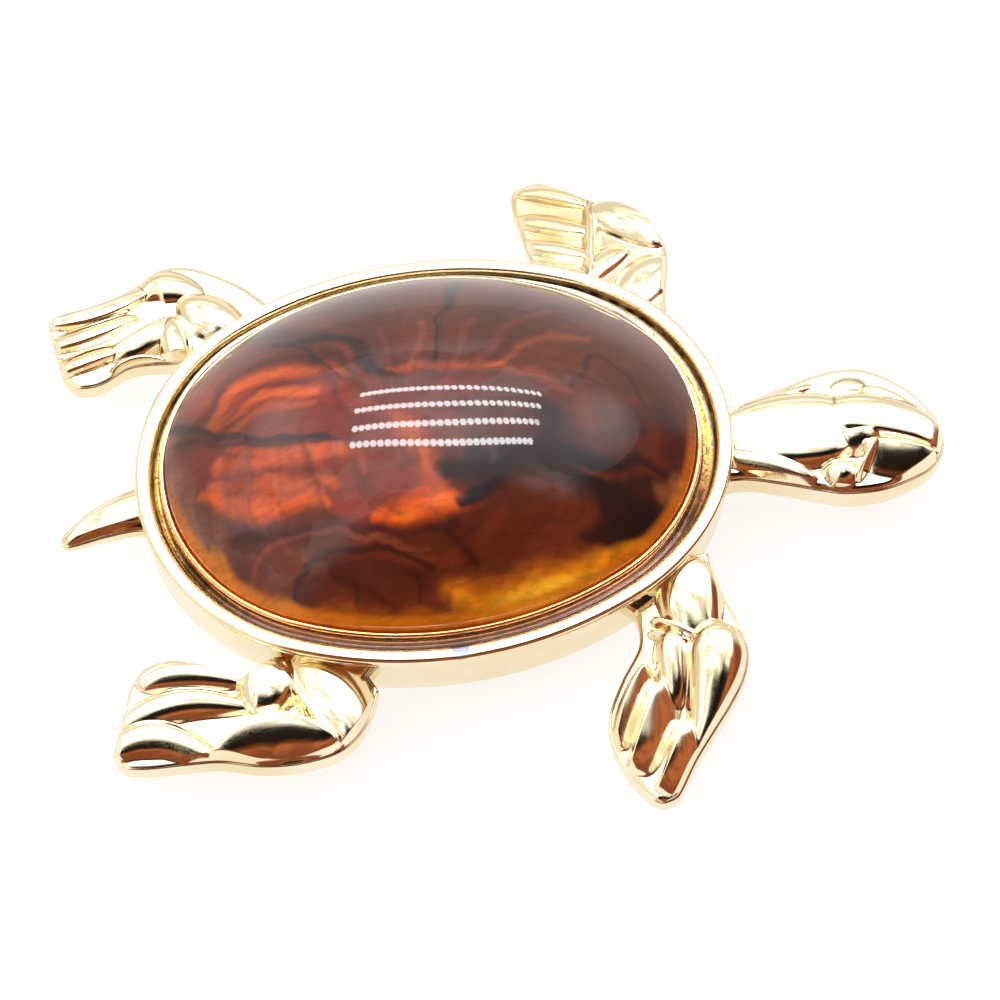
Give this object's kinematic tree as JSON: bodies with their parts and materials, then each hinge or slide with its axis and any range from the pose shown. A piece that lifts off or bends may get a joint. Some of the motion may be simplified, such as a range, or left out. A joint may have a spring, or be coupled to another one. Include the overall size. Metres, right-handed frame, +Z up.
{
  "type": "turtle brooch",
  "caption": "Sea turtle brooch: domed oval stone in a gold-toned bezel with head, tail, flippers and a pin back.",
  "frame": {"origin": "centre of the bezel on the plane that the brooch lies on, which is also where the cloth lies when it is pinned on", "axes": "+X towards the head, +Y towards the turtle's left, +Z up through the dome"},
  "size_m": [0.0673, 0.0552, 0.0161],
  "materials": {
    "gold_metal": "polished pale gold plate",
    "stone": "glossy tortoise-coloured resin",
    "pin_metal": "plain gold-toned wire and plate"
  },
  "bodies": {
    "root": {"casting": "gold_metal", "cabochon": "stone", "brooch_pin": "pin_metal"}
  },
  "joints": []
}
